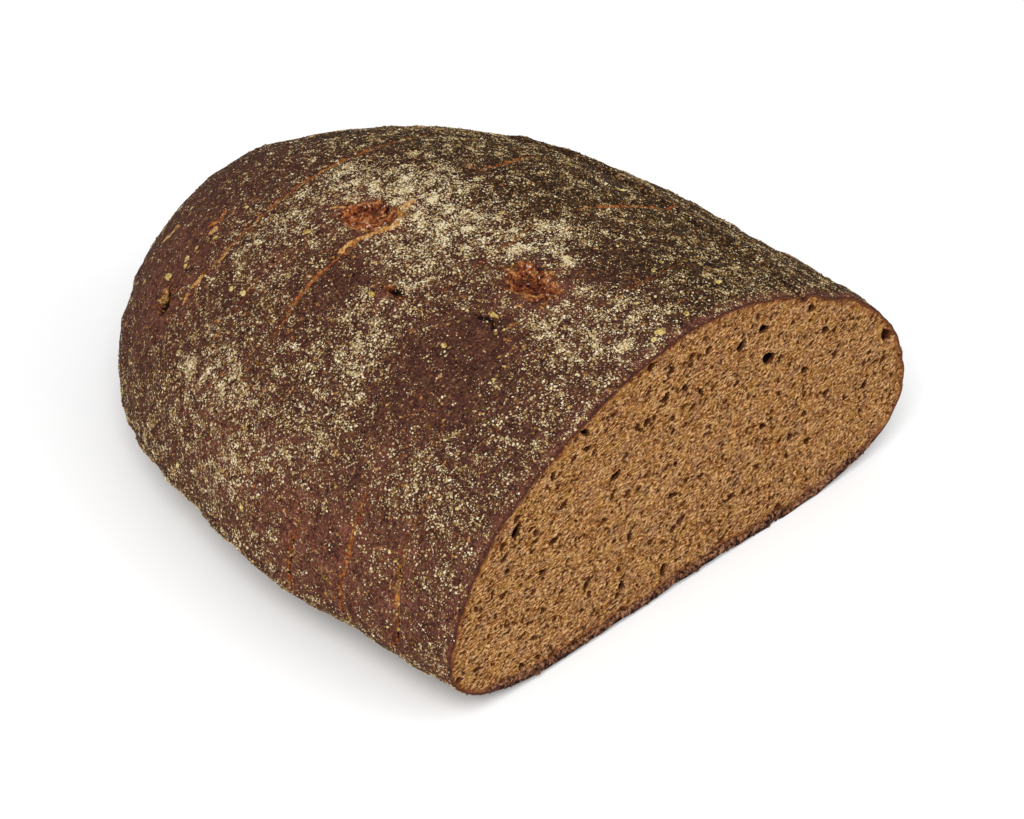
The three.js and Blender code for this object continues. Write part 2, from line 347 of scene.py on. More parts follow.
# mm along the crust from the crown, positive to the left, at the loaf's middle
def asideAt(angle):
    fine, lengths = sectionSteps(2000)
    arc = np.concatenate([[0], np.cumsum(lengths)])
    return np.interp(angle, fine, arc) - np.interp(math.pi / 2, fine, arc)


# places along a line so that each step has its wanted length
def spacedOut(places, lengths, steps):
    counts = np.concatenate([[0], np.cumsum(lengths / steps)])
    total = int(round(counts[-1]))
    return np.interp(np.arange(total + 1) * counts[-1] / total, counts, places)


def columnAngles():
    fine, lengths = sectionSteps(4000)
    degrees = np.degrees(fine[1:])
    onDome = (degrees > crust["domeFrom"]) & (degrees < crust["domeTo"])
    return spacedOut(fine, lengths, np.where(onDome, crust["domeStep"], crust["baseStep"]))


def rowStations():
    fine = form["kept"] * np.sin(np.linspace(0, math.pi / 2, 4000))
    points = formPoints(fine, np.full(fine.shape, math.pi / 2))
    lengths = np.linalg.norm(np.diff(points, axis=0), axis=1)
    steps = np.where(fine[1:] < crust["farFrom"], crust["rowStep"], crust["farRowStep"])
    return spacedOut(fine, lengths, steps)


angles = columnAngles()
stations = rowStations()
angleGrid, stationGrid = np.meshgrid(angles, stations)
asideGrid = asideAt(angleGrid)
plainCrust = crustPoints(stationGrid, angleGrid)
outwardGrid = outwardAt(plainCrust)
print("crust grid", len(angles), "x", len(stations))


# a place on the dome above (x, y), the outward direction there, and a feature's two directions
def domePlace(x, y, turn):
    halfWidth = form["width"] / 2 * taperShare(y, form["planTaper"])
    angle = math.acos(signedPower(x / halfWidth, form["domeSide"] / 2))
    step = 0.01
    point, ahead, beside = crustPoints(
        np.array([y, y + step, y]), np.array([angle, angle, angle + step])
    )
    outward = Vector(np.cross(ahead - point, beside - point)).normalized()
    tilt = Vector((0, 0, 1)).rotation_difference(outward)
    turned = math.radians(turn)
    along = tilt @ Vector((math.cos(turned), math.sin(turned), 0))
    return point, np.array(outward), np.array(along), np.cross(outward, along)


# how far out a place lies on an oval feature: 0 at its middle, 1 at its edge
def ovalReach(feature, ragged, wave):
    point, outward, along, across = domePlace(feature["x"], feature["y"], feature["turn"])
    offset = plainCrust - point
    u = offset @ along / (feature["long"] / 2)
    v = offset @ across / (feature["wide"] / 2)
    reach = np.hypot(u, v)
    near = (reach < 2.2) & (np.abs(offset @ outward) < 12)
    edge = np.zeros(reach.shape)
    edge[near] = noiseAt(plainCrust[near], wave, 3)
    return np.where(near, reach * (1 + ragged * edge), 9.0), u, v


def patchSum(patches):
    total = np.zeros(asideGrid.shape)
    for aside, along, reachAside, reachAlong, amount in patches:
        u = (asideGrid - aside) / reachAside
        v = (stationGrid - along) / reachAlong
        total += amount * np.exp(-(u * u + v * v) ** 1.5)
    return total


# depth of the slits, from their own lines
def slitDepth():
    depth = np.zeros(angleGrid.shape)
    degrees = np.degrees(angleGrid)
    for slit in slits:
        share = (degrees - slit["from"]) / (slit["to"] - slit["from"])
        inside = np.clip(share, 0, 1)
        bend = slitBend["reach"] * np.sin(inside * slitBend["turns"] + slit["station"])
        offset = (stationGrid - slit["station"] - slit["drift"] * inside - bend) / slit["width"]
        ends = np.sqrt(np.sin(np.pi * inside) * ((share > 0) & (share < 1)))
        depth += slit["depth"] * ends * np.exp(-2.2 * offset ** 2)
    return depth


# distance in mm from a line of places on the unrolled crust
def lineReach(line):
    reach = np.full(asideGrid.shape, 99.0)
    for (a0, b0), (a1, b1) in zip(line, line[1:]):
        da, db = a1 - a0, b1 - b0
        share = ((asideGrid - a0) * da + (stationGrid - b0) * db) / (da * da + db * db)
        share = np.clip(share, 0, 1)
        away = np.hypot(asideGrid - a0 - share * da, stationGrid - b0 - share * db)
        reach = np.minimum(reach, away)
    return reach


# relief in mm, how torn or lip-like each place is, and how much painted shade it gets
def makeCrustRelief():
    flank = 1 + crust["flankLumps"] * smoothStep(40, 70, np.abs(asideGrid))
    low = smoothStep(crust["baseGrainTop"], 1.5, plainCrust[..., 2])
    relief = np.zeros(asideGrid.shape)
    layers = ("lumps", flank, 3, 0), ("grain", 1, 2, 40), ("baseGrain", low, 2, 80)
    for name, share, octaves, shift in layers:
        height, wave = crust[name]
        relief += height * share * noiseAt(plainCrust, wave, octaves, shift)
    marks = {name: np.zeros(relief.shape) for name in ("torn", "dark", "lip")}

    def mark(name, values):
        marks[name] = np.maximum(marks[name], values)

    for hole in dockingHoles:
        reach, u, v = ovalReach(hole, *crust["holeEdge"])
        inside = smoothStep(1.04, 0.62, reach)
        near = inside > 0
        rough = np.zeros(relief.shape)
        height, wave = crust["holeFloor"]
        rough[near] = noiseAt(plainCrust[near], wave, 3, 10)
        relief += -hole["depth"] * inside + height * rough * inside
        mark("torn", smoothStep(1.35, 0.7, reach))
        # painted shade: over all of a shaded hole, in the low places of its floor, and on its side
        # towards the crown
        mark("dark", np.maximum(hole["shade"] * inside, smoothStep(0.25, 0.8, -rough * inside)))
        mark("dark", 0.6 * smoothStep(0.1, -0.8, v) * inside)  # the side towards the crown
        # the slot sinks deeper and gets painted shade
        slotU, slotV, reachU, reachV = hole["slot"]
        slot = np.hypot((u - slotU) / reachU, (v - slotV) / reachV)
        mark("dark", smoothStep(1.2, 0.5, slot))
        relief -= 0.8 * smoothStep(1.2, 0.3, slot)
    for pit in pits:
        reach = ovalReach(pit, *crust["pitEdge"])[0]
        relief -= pit["depth"] * smoothStep(1.1, 0.25, reach)
        # painted shade in the pit
        mark("dark", smoothStep(1.25, 0.8, reach))
        mark("torn", pit["halo"] * smoothStep(2.1, 0.9, reach))
    for crease in creases:
        reach = lineReach(crease["line"]) / crease["wide"]
        relief += crease["height"] * np.exp(-(reach ** 2))
        # a lip mark, or painted shade along the thin cut
        if crease["mark"]:
            mark(crease["mark"], smoothStep(*creaseEdge[crease["mark"]], reach))
    return relief - slitDepthGrid, *marks.values()


slitDepthGrid = slitDepth()
relief, tornGrid, paintedShadeGrid, lipGrid = makeCrustRelief()
outerCrust = plainCrust + outwardGrid * relief[..., None]
outerCrust[..., 1] = np.maximum(outerCrust[..., 1], 0)
outerCrust[0, :, 1] = 0
outerCrust[-1] = outerCrust[-1].mean(axis=0)
underside = 0.12 * np.maximum(0, noiseAt(outerCrust, 2.5, 3, 55))
notchDepth, notchWave = crust["notch"]
notches = notchDepth * smoothStep(9, 2, stationGrid)
notches = notches * np.maximum(0, noiseAt(outerCrust, notchWave, 3, 75))
bottom = form["settle"] + (underside + notches) * smoothStep(1.6, 0.8, outerCrust[..., 2])
outerCrust[..., 2] = np.maximum(outerCrust[..., 2], bottom)
print("crust relief made")


def flourDensity():
    level = between(flourLevel["left"], flourLevel["right"], smoothStep(12, -14, asideGrid))
    level = between(level, flourLevel["end"], smoothStep(105, 140, stationGrid))
    density = level + patchSum(flourPatches)
    density = between(density, flourLevel["base"], smoothStep(6, 1.5, outerCrust[..., 2]))
    edge = between(bareEdge["right"], bareEdge["left"], smoothStep(-10, 15, asideGrid))
    edge = edge * (1 + bareEdge["waver"] * noiseAt(plainCrust, 4, 2, 70))
    density *= smoothStep(0.1, 1, stationGrid / np.maximum(edge, 0.3))
    return np.clip(density * (1 - tornGrid), 0, 1)


flourGrid = flourDensity()
specksShare = between(flourSpecks["right"], 1, smoothStep(-5, 25, asideGrid))
sparseShare = np.maximum(smoothStep(-22, -55, asideGrid), smoothStep(95, 128, stationGrid))
sparseShare = 1 - flourSpecks["sparse"] * sparseShare
redGrid = np.clip(patchSum(redPatches), 0, 1)
redGrid = np.maximum(redGrid, 0.8 * smoothStep(4.5, 0.5, stationGrid))  # a red edge at the cut


# a closed ring inside the cut's outline, set in by its own thickness
def insetRing(thickness, y):
    tangent = np.roll(cutOutline, -1, axis=0) - np.roll(cutOutline, 1, axis=0)
    inward = unit(np.cross([0.0, -1.0, 0.0], tangent * [1, 0, 1]))
    ring = cutOutline + inward * np.reshape(thickness, (-1, 1))
    ring[:, 1] = y
    return ring


cutOutline = outerCrust[0, :-1].copy()  # the seam's second column left out
outlineLow = smoothStep(9, 3, cutOutline[:, 2])
rimWaver = noiseAt(cutOutline, 2.2, 4, 20)
rimThickness = between(crust["rimThickness"], crust["baseThickness"], outlineLow)
rimThickness = rimThickness * (1 + (0.35 + 0.35 * outlineLow) * rimWaver)


def closedRow(ring):
    return np.concatenate([ring, ring[:1]])


def setPlaces(mesh, points):
    mesh.vertices.foreach_set("co", toMetres(points).astype(np.float32).ravel())


# a new mesh from a bmesh, which is freed
def meshFrom(bm, name):
    mesh = bpy.data.meshes.new(name)
    bm.to_mesh(mesh)
    bm.free()
    return mesh


# a flat sheet of quads from the grid operator, its vertices then moved to the given rows of points
def sheetMesh(name, rows):
    rowCount, columnCount = rows.shape[:2]
    bm = bmesh.new()
    bmesh.ops.create_grid(bm, x_segments=columnCount - 1, y_segments=rowCount - 1, size=1)
    mesh = meshFrom(bm, name)
    setPlaces(mesh, rows)
    return mesh


def setValues(mesh, name, values):
    layer = mesh.attributes.new(name, "FLOAT", "POINT")
    layer.data.foreach_set("value", np.asarray(values, dtype=np.float32).ravel())


def setMap(mesh, name, u, v):
    layer = mesh.uv_layers.new(name=name)
    places = np.stack([u, v], axis=-1)
    layer.data.foreach_set("uv", places.astype(np.float32).ravel())


def loopVertices(mesh):
    loops = np.zeros(len(mesh.loops), dtype=np.int32)
    mesh.loops.foreach_get("vertex_index", loops)
    return loops


# merges seams and poles, and points every face outwards
def closeMesh(mesh, distance):
    bm = bmesh.new()
    bm.from_mesh(mesh)
    bmesh.ops.remove_doubles(bm, verts=bm.verts, dist=distance)
    bmesh.ops.recalc_face_normals(bm, faces=bm.faces)
    bm.to_mesh(mesh)
    bm.free()


# the finished piece, riding on the loaf's body
def addPiece(name, mesh):
    mesh.shade_smooth()
    piece = linkNew(name, mesh)
    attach(piece, "root")
    print(name, "made,", len(mesh.polygons), "faces")
    return piece


# a map for baking: the dome gets most of the room, the base and the rim a strip each
def setCrustBakeMap(mesh, row, column, rimRows, rowCount):
    lastColumn = len(angles) - 1
    faceRow = np.repeat(row.reshape(-1, 4).min(axis=1), 4)
    faceColumn = np.repeat(column.reshape(-1, 4).min(axis=1), 4)
    degrees = np.degrees(angles)
    first = int(np.argmax(degrees >= crust["domeFrom"]))
    last = int(np.argmax(degrees >= crust["domeTo"]))
    share = np.maximum(0, np.arange(rowCount) - rimRows)[row] / (rowCount - rimRows - 1)
    domeU = 0.001 + 0.998 * (column - first) / (last - first)
    domeV = 0.025 + 0.79 * share
    aroundBase = np.where(faceColumn >= last, column - last, column + lastColumn - last)
    baseU = 0.002 + 0.99 * share
    baseV = 0.825 + 0.17 * aroundBase / (first + lastColumn - last)
    rimU = 0.001 + 0.998 * column / lastColumn
    rimV = 0.001 + 0.0225 * row / rimRows
    isRim = faceRow < rimRows
    isDome = (faceColumn >= first) & (faceColumn < last)
    u = np.where(isRim, rimU, np.where(isDome, domeU, baseU))
    v = np.where(isRim, rimV, np.where(isDome, domeV, baseV))
    setMap(mesh, "OFBake", u, v)


def makeCrust():
    wall = crust["wallDepth"]
    rings = [
        np.tile([[0, wall, 30]], (len(cutOutline), 1)),  # the middle of the cap behind the cut
        insetRing(rimThickness, wall),
        insetRing(rimThickness, 0.08 + 0.1 * np.abs(rimWaver)),
        insetRing(rimThickness * 0.5, 0.0),
        insetRing(0.12, 0.0),
        insetRing(0.01, 0.14),  # the rounded edge, in place of the crust's first row
    ]
    rimRows = len(rings) - 1
    rows = np.concatenate([[closedRow(ring) for ring in rings], outerCrust[1:]])
    mesh = sheetMesh("crust", rows)
    low = smoothStep(5.0, 1.2, outerCrust[..., 2])
    low[0] = closedRow(outlineLow)
    grids = {
        "flour": flourGrid * specksShare,
        "red": redGrid,
        "torn": tornGrid,
        "dark": paintedShadeGrid,
        "lip": lipGrid,
        "low": low,
        "rim": np.zeros(low.shape),
        "ringIn": np.zeros(low.shape),
    }
    for name, grid in grids.items():
        grids[name] = np.concatenate([np.zeros((rimRows, grid.shape[1])), grid])
    grids["low"][:rimRows] = low[0]
    grids["rim"][:rimRows] = 1
    grids["rim"][rimRows] = 0.6
    grids["ringIn"][:3] = 1
    grids["ringIn"][3] = 0.5
    for name, grid in grids.items():
        setValues(mesh, name, grid)
    row, column = np.divmod(loopVertices(mesh), rows.shape[1])
    setMap(mesh, "section", np.degrees(angles)[column] / 360, rows[row, column, 1] / 1000)
    setCrustBakeMap(mesh, row, column, rimRows, len(rows))
    closeMesh(mesh, 0.000001)
    piece = addPiece("crust", mesh)
    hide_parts("rye_bread_loaf")
    return piece


crustObject = makeCrust()


crumb = {
    "step": 0.32,
    "recess": 0.05,
    "baseRecess": 0.9,  # behind the thick base crust
    "thickness": 5.0,
    "under": 0.5,  # how near the outline the sheet reaches, below the crust ring
    "seed": 11,
    "weave": (0.09, 2.6),  # height and wave of the crumb's own unevenness
    "grain": (0.13, 0.9),
    "largeDepth": 0.95,  # depth of the large pores as a share of their width
    "kinds": [  # tries, least and most width, depth as a share of width
        (70, 1.4, 2.0, 0.75),
        (700, 0.8, 1.3, 0.65),
        (6000, 0.5, 0.8, 0.55),
    ],
}


# x, z, wide, tall, degrees leaning over
largePores = [
    (24.4, 48.8, 2.8, 3.8, 93),
    (-53.1, 44.2, 2.3, 3.7, 43),
    (65, 34.8, 2.7, 3.7, -37),
    (15.1, 56.7, 2.2, 3.2, 67),
    (-23.4, 42.6, 2.2, 3, 71),
    (22.2, 57.6, 2.1, 2.8, -63),
    (-41.7, 35.5, 1.6, 3.5, 60),
    (-13.2, 65.5, 1.6, 2.7, 67),
    (-32.9, 58.8, 1.5, 3, -55),
    (-2.4, 19.2, 1.5, 3.1, 66),
    (-4.9, 17.9, 1.5, 1.9, 62),
    (-5.3, 27.4, 1.4, 3, -73),
    (58.3, 24.4, 1.8, 2.4, 8),
    (37.9, 55.4, 1.6, 2.4, -58),
    (-42.3, 52.6, 1.5, 2.1, 38),
    (-2.5, 54.6, 1.5, 2.1, -45),
    (-24.2, 38, 1.4, 2.4, 37),
    (-56.6, 38.8, 1.5, 1.9, 49),
    (28.4, 46.8, 1.6, 1.9, 89),
    (-32.2, 54.3, 1.3, 2.3, -71),
    (0, 48.3, 1.4, 2.2, 83),
    (-24.4, 59, 1.2, 2.3, -74),
    (-51.7, 7, 1.5, 1.8, -70),
    (2.7, 50.8, 1.3, 2.1, -33),
    (-47.6, 38.3, 1.3, 1.8, 70),
    (-36.1, 53.7, 1.4, 1.7, 24),
    (-57.1, 42.4, 1.2, 2, 26),
    (47, 38.4, 1.5, 1.7, -50),
    (-26.8, 32.3, 1.3, 1.7, 73),
    (-35.8, 4.2, 1.4, 1.7, 32),
    (-42.3, 5, 1.3, 1.7, 73),
    (0.4, 4.8, 1.4, 1.7, -17),
    (-60, 31.6, 1.1, 1.8, 6),
    (59.4, 32.8, 1.1, 1.9, -58),
    (20.2, 61.8, 1.2, 1.4, 0),
    (46.5, 45.5, 1.3, 1.5, 30),
]


# depth of a place inside the cut's outline, in mm, below 0 outside
def depthInside(x, z):
    px, pz = cutOutline[:, 0], cutOutline[:, 2]
    tx = np.roll(px, -1) - np.roll(px, 1)
    tz = np.roll(pz, -1) - np.roll(pz, 1)
    depth = np.zeros(x.shape)
    for i in range(len(x)):
        dx, dz = x[i][:, None] - px, z[i][:, None] - pz
        nearest = np.argmin(dx * dx + dz * dz, axis=1)
        at = np.arange(len(nearest))
        nx, nz = -tz[nearest], tx[nearest]
        depth[i] = (dx[at, nearest] * nx + dz[at, nearest] * nz) / np.hypot(nx, nz)
    return depth


# all pores: x, z, wide, tall, lean in radians, depth share; the small ones stand clear of each other
def scatterPores(rng):
    pores = [
        (x, z, wide, tall, math.radians(lean), crumb["largeDepth"])
        for x, z, wide, tall, lean in largePores
    ]
    places = np.array([[x, z, max(wide, tall) / 2] for x, z, wide, tall, _, _ in pores])
    for tries, least, most, depth in crumb["kinds"]:
        for _ in range(tries):
            x = (rng.random() - 0.5) * form["width"]
            z = rng.random() * form["crown"]
            wide = between(least, most, rng.random() ** 2)
            stretch = 1 + 0.8 * rng.random() ** 1.5
            lean = rng.normal(1.3, 0.6)
            gap = np.hypot(places[:, 0] - x, places[:, 1] - z) - places[:, 2] - wide * 0.55
            if gap.min() >= 0.12:
                places = np.vstack([places, [x, z, wide * (1 + stretch) / 4]])
                pores.append((x, z, wide, wide * stretch, lean, depth))
    return pores


# how deep each place lies in a pore, and the slight lift round the pores
def carvePores(x, z):
    poreDepth, lift = np.zeros(x.shape), np.zeros(x.shape)
    for poreX, poreZ, wide, tall, lean, share in scatterPores(np.random.default_rng(crumb["seed"])):
        half = max(wide, tall) * 0.85 + 2 * crumb["step"]
        columns = slice(*np.searchsorted(x[0], [poreX - half, poreX + half]))
        rows = slice(*np.searchsorted(z[:, 0], [poreZ - half, poreZ + half]))
        dx, dz = x[rows, columns] - poreX, z[rows, columns] - poreZ
        c, s = math.cos(lean), math.sin(lean)
        u = (dx * c - dz * s) / (wide / 2)
        v = (dx * s + dz * c) / (tall / 2)
        turn = np.arctan2(v, u)
        phase = poreX * 7 + poreZ * 3
        ragged = 1 + 0.16 * np.sin(2 * turn + phase) + 0.1 * np.sin(3 * turn + 2 * phase)
        reach = np.hypot(u, v) * ragged
        bowl = np.sqrt(np.clip(1 - reach ** 2, 0, 1)) * wide * share
        rim = 0.09 * min(wide, 1.6) * np.exp(-(((reach - 1.2) / 0.25) ** 2))
        for grid, values in ((poreDepth, bowl), (lift, rim)):
            grid[rows, columns] = np.maximum(grid[rows, columns], values)
    return poreDepth, lift


# trims the sheet to the cut's outline and gives it walls and a back, each with a place on the bake map
def closeCrumb(mesh):
    bm = bmesh.new()
    bm.from_mesh(mesh)
    depthLayer = bm.verts.layers.float["depthIn"]
    outside = [face for face in bm.faces if min(v[depthLayer] for v in face.verts) < crumb["under"]]
    bmesh.ops.delete(bm, geom=outside, context="FACES")
    frontFaces = set(bm.faces)
    border = [edge for edge in bm.edges if edge.is_boundary]
    walls = bmesh.ops.extrude_edge_only(bm, edges=border)["geom"]
    backLevel = toMetres([0, crumb["thickness"], 0])[1]
    for item in walls:
        if isinstance(item, bmesh.types.BMVert):
            item.co.y = backLevel
    edges = [item for item in walls if isinstance(item, bmesh.types.BMEdge) and item.is_boundary]
    bmesh.ops.triangle_fill(bm, use_beauty=True, edges=edges)
    bakeLayer = bm.loops.layers.uv["OFBake"]
    for face in bm.faces:
        if face in frontFaces:
            continue
        isBack = all(abs(v.co.y - backLevel) < 1e-7 for v in face.verts)
        for loop in face.loops:
            co = loop.vert.co
            turn = math.atan2(co.z - 0.03, co.x) / (2 * math.pi) + 0.5
            onWall = (0.01 + 0.98 * turn, 0.85 + 0.1 * (co.y - cadLow.y) / 0.006)
            loop[bakeLayer].uv = (0.3 + co.x * 3, 0.56 + co.z * 3) if isBack else onWall
    bmesh.ops.recalc_face_normals(bm, faces=bm.faces)
    bm.to_mesh(mesh)
    bm.free()


def makeCrumb():
    width, top = form["width"], form["crown"] + 1
    x, z = np.meshgrid(
        np.linspace(-width / 2, width / 2, int(width / crumb["step"]) + 1),
        np.linspace(form["settle"], top, int(top / crumb["step"]) + 1),
    )
    depth = depthInside(x, z)
    poreDepth, lift = carvePores(x, z)
    poreDepth *= smoothStep(0.4, 0.9, depth)
    nearRim = smoothStep(2.6, 1.2, depth)
    flat = np.stack([x, 0 * x, z], axis=-1)
    (weave, weaveWave), (grain, grainWave) = crumb["weave"], crumb["grain"]
    surface = crumb["recess"] + weave * noiseAt(flat, weaveWave, 3)
    surface += grain * noiseAt(flat * [0.7, 1, 1.1], grainWave, 2, 30)
    surface -= 0.06 * nearRim
    surface += crumb["baseRecess"] * smoothStep(2.8, 2.0, depth) * smoothStep(8, 4, z)
    mesh = sheetMesh("crumb", np.stack([x, surface + poreDepth - lift * (1 - nearRim), z], axis=-1))
    setValues(mesh, "pore", poreDepth)
    setValues(mesh, "depthIn", depth)
    loops = loopVertices(mesh)
    u, v = x.ravel()[loops] / width + 0.5, z.ravel()[loops] / width
    setMap(mesh, "OFBake", 0.002 + 0.996 * u, 0.002 + 0.996 * v)
    closeCrumb(mesh)
    return addPiece("crumb", mesh)


crumbObject = makeCrumb()


# grains of flour and of coarser meal, in small clusters; sizes in mm, reach in steps of the crust grid,
# toRight, clumps and slitShare: what draws them, tint: at no flour, gained by flour, scatter
flourKinds = rowsOf(
    "name count seed least most cluster reach spread toRight clumps slitShare tint",
    ("flourDust", 19500, 5, 0.23, 0.76, 5, 0.62, 0.02, 0.3, 3.4, 0.0, (0.62, 0.4, 0.22)),
    ("flourPoints", 24000, 8, 0.19, 0.4, 1, 0.0, 0.15, 0.35, 1.6, 0.0, (0.6, 0.35, 0.26)),
    ("flourSoft", 19800, 9, 0.26, 0.6, 3, 0.8, 0.025, 0.35, 2.6, 0.0, (0.5, 0.35, 0.25)),
    ("flourMeal", 17000, 6, 0.24, 0.85, 2, 0.6, 0.035, 0.0, 1.6, 0.8, (0.18, 0.4, 0.25)),
)
grainFlatness = 0.5
grainStandOff = 0.12  # share of its size by which a grain stands off the crust
sideTint = (0.05, 0.16)  # how much duller the grains are on the left and on the right flank

bran = {
    "count": 260,
    "seed": 23,
    "least": 0.6,
    "most": 1.5,
    "thickness": 0.16,
    "standOff": 0.12,
    "rounding": 0.3,
    "raggedness": 0.28,
    "curl": (0.1, 0.22),  # middle and scatter
    "twist": 0.12,
}

# flakes that stand out: x, y, long, wide, turn
branNamed = [
    (-26.5, 92.3, 2.2, 1.5, 100),
    (-44.5, 93.6, 1.8, 1.4, 60),
    (-44.4, 97.6, 1.6, 1.1, 30),
    (-43.3, 120.6, 2.5, 1.8, 75),
    (-41.1, 117.2, 1.7, 1.2, 30),
    (-39.4, 118.4, 1.9, 1.5, 50),
    (-36.9, 118.2, 1.5, 1.0, 20),
    (-33.7, 115.3, 1.7, 1.2, 80),
    (-35.5, 135.7, 1.7, 1.5, 20),
    (-42, 131.5, 1.5, 1.0, 0),
    (-33.6, 63.4, 2.2, 1.5, 80),
    (-24.2, 35.6, 3.0, 1.2, 84),
    (-6.4, 4.3, 2.7, 2.0, -30),
    (-8.9, 3.6, 1.6, 1.2, 10),
    (2.1, 4.5, 1.7, 1.2, 40),
    (18.3, 10.1, 2.2, 1.4, 0),
    (46.5, 28.1, 2.2, 1.7, 30),
    (34.7, 54.7, 2.6, 1.1, -40),
    (-73, 63.6, 2.6, 1.4, 80),
    (-26.8, 41.5, 1.5, 1.1, 10),
    (-35.6, 39.0, 1.6, 1.2, 40),
]


# many copies of one small mesh in a single mesh, by an array
def copiesOf(bm, name, count):
    shape = np.array([vert.co for vert in bm.verts])
    single = linkNew(name + "One", meshFrom(bm, name + "One"))
    rows = single.modifiers.new("copies", "ARRAY")
    rows.count = count
    rows.use_relative_offset = False
    evaluated = single.evaluated_get(bpy.context.evaluated_depsgraph_get())
    mesh = bpy.data.meshes.new_from_object(evaluated)
    mesh.name = name
    bpy.data.meshes.remove(single.data)
    return mesh, shape


# picks clusters of places on the crust by weight, with their outward directions and flour density
def pickOnCrust(rng, count, weights, cluster=1, reach=0.0):
    corner = outerCrust[:-1, :-1]
    normal = np.cross(outerCrust[1:, :-1] - corner, outerCrust[:-1, 1:] - corner)
    area = np.linalg.norm(normal, axis=-1)
    total = np.cumsum((area * weights[:-1, :-1]).ravel())
    cells = np.searchsorted(total, rng.random(count // cluster) * total[-1])
    row, column = [np.repeat(index, cluster) for index in np.unravel_index(cells, area.shape)]
    row = np.clip(row + rng.random(count) + reach * rng.normal(size=count), 0, len(area) - 0.01)
    column = (column + rng.random(count) + reach * rng.normal(size=count)) % area.shape[1]
    s, t = (row % 1)[:, None], (column % 1)[:, None]
    row, column = row.astype(int), column.astype(int)
    point = (1 - s) * (1 - t) * outerCrust[row, column] + s * (1 - t) * outerCrust[row + 1, column]
    point += (1 - s) * t * outerCrust[row, column + 1] + s * t * outerCrust[row + 1, column + 1]
    away = normal[row, column] / np.maximum(area[row, column], 1e-9)[:, None]
    return point, away, flourGrid[row, column]


# axes on the crust at each place, turned at random, and the outward direction
def axesOn(rng, away):
    helper = np.where(np.abs(away[:, 2:3]) > 0.9, [[1.0, 0, 0]], [[0, 0, 1.0]])
    first = unit(np.cross(helper, away))
    second = np.cross(away, first)
    spin = rng.random(len(away)) * 2 * math.pi
    c, s = np.cos(spin)[:, None], np.sin(spin)[:, None]
    return first * c + second * s, second * c - first * s, away


# shapes in their own axes set down at the given places and axes
def placedOn(local, axes, point):
    x, y, z = [local[..., i : i + 1] * axes[i][:, None] for i in range(3)]
    return x + y + z + point[:, None]


# one rough shape for each copy
def roughened(rng, shape, stretch, size):
    local = shape[None] * (stretch * size[:, None] / 2)[:, None]
    return local * (0.75 + 0.5 * rng.random((*local.shape[:2], 1)))


# small cells of a bake map, one for each copy: the upper faces in its left half, the lower in its right
def setCellMap(mesh, shape, count):
    side = math.ceil(math.sqrt(count))
    loops = loopVertices(mesh).reshape(count, -1)
    index = np.arange(count)[:, None]
    local = shape[loops - index * len(shape)]
    low = (local[..., 2] < -1e-6).reshape(count, -1, 3).any(axis=2)
    spread = np.abs(shape[:, :2]).max()
    u = 0.25 + 0.22 * local[..., 0] / spread + 0.5 * np.repeat(low, 3, axis=1)
    v = 0.5 + 0.44 * local[..., 1] / spread
    setMap(mesh, "OFBake", (index % side + u) / side, (index // side + v) / side)


def makeFlourGrains(kind):
    count = kind["count"]
    rng = np.random.default_rng(kind["seed"])
    weights = (kind["spread"] + flourGrid ** 1.4) * specksShare ** -kind["toRight"]
    weights = weights * np.exp(kind["clumps"] * clumpGrid) * (1 - 0.9 * np.minimum(1, 3 * slitGrid))
    weights = (weights + kind["slitShare"] * slitGrid) * (1 - 0.9 * lipGrid) * sparseShare
    weights = weights * smoothStep(1.5, 5, outerCrust[..., 2])
    weights = weights * (1 - 0.8 * tornGrid) * (1 - 0.9 * paintedShadeGrid)
    point, away, density = pickOnCrust(rng, count, weights, kind["cluster"], kind["reach"])
    axes = axesOn(rng, away)
    bm = bmesh.new()
    bmesh.ops.create_uvsphere(bm, u_segments=4, v_segments=2, radius=1)
    mesh, shape = copiesOf(bm, kind["name"], count)
    size = between(kind["least"], kind["most"], rng.random(count) ** 2.4)
    stretch = np.full((count, 3), grainFlatness)
    stretch[:, :2] = 0.7 + 0.6 * rng.random((count, 2))
    local = roughened(rng, shape, stretch, size)
    setPlaces(mesh, placedOn(local, axes, point + away * (size * grainStandOff)[:, None]))
    least, gain, scatter = kind["tint"]
    duller = sideTint[0] * smoothStep(-15, -60, point[:, 0])
    duller += sideTint[1] * smoothStep(0, 30, point[:, 0])
    tint = np.clip(least + gain * density - duller + rng.normal(0, scatter, count), 0, 1)
    setValues(mesh, "tint", np.repeat(tint, len(shape)))
    setCellMap(mesh, shape, count)
    return addPiece(kind["name"], mesh)


clumpGrid = noiseAt(outerCrust, 3.0, 3, 90)
slitGrid = slitDepthGrid * (0.3 + 0.7 * smoothStep(-0.2, 0.3, clumpGrid))
flourObjects = [makeFlourGrains(kind) for kind in flourKinds]


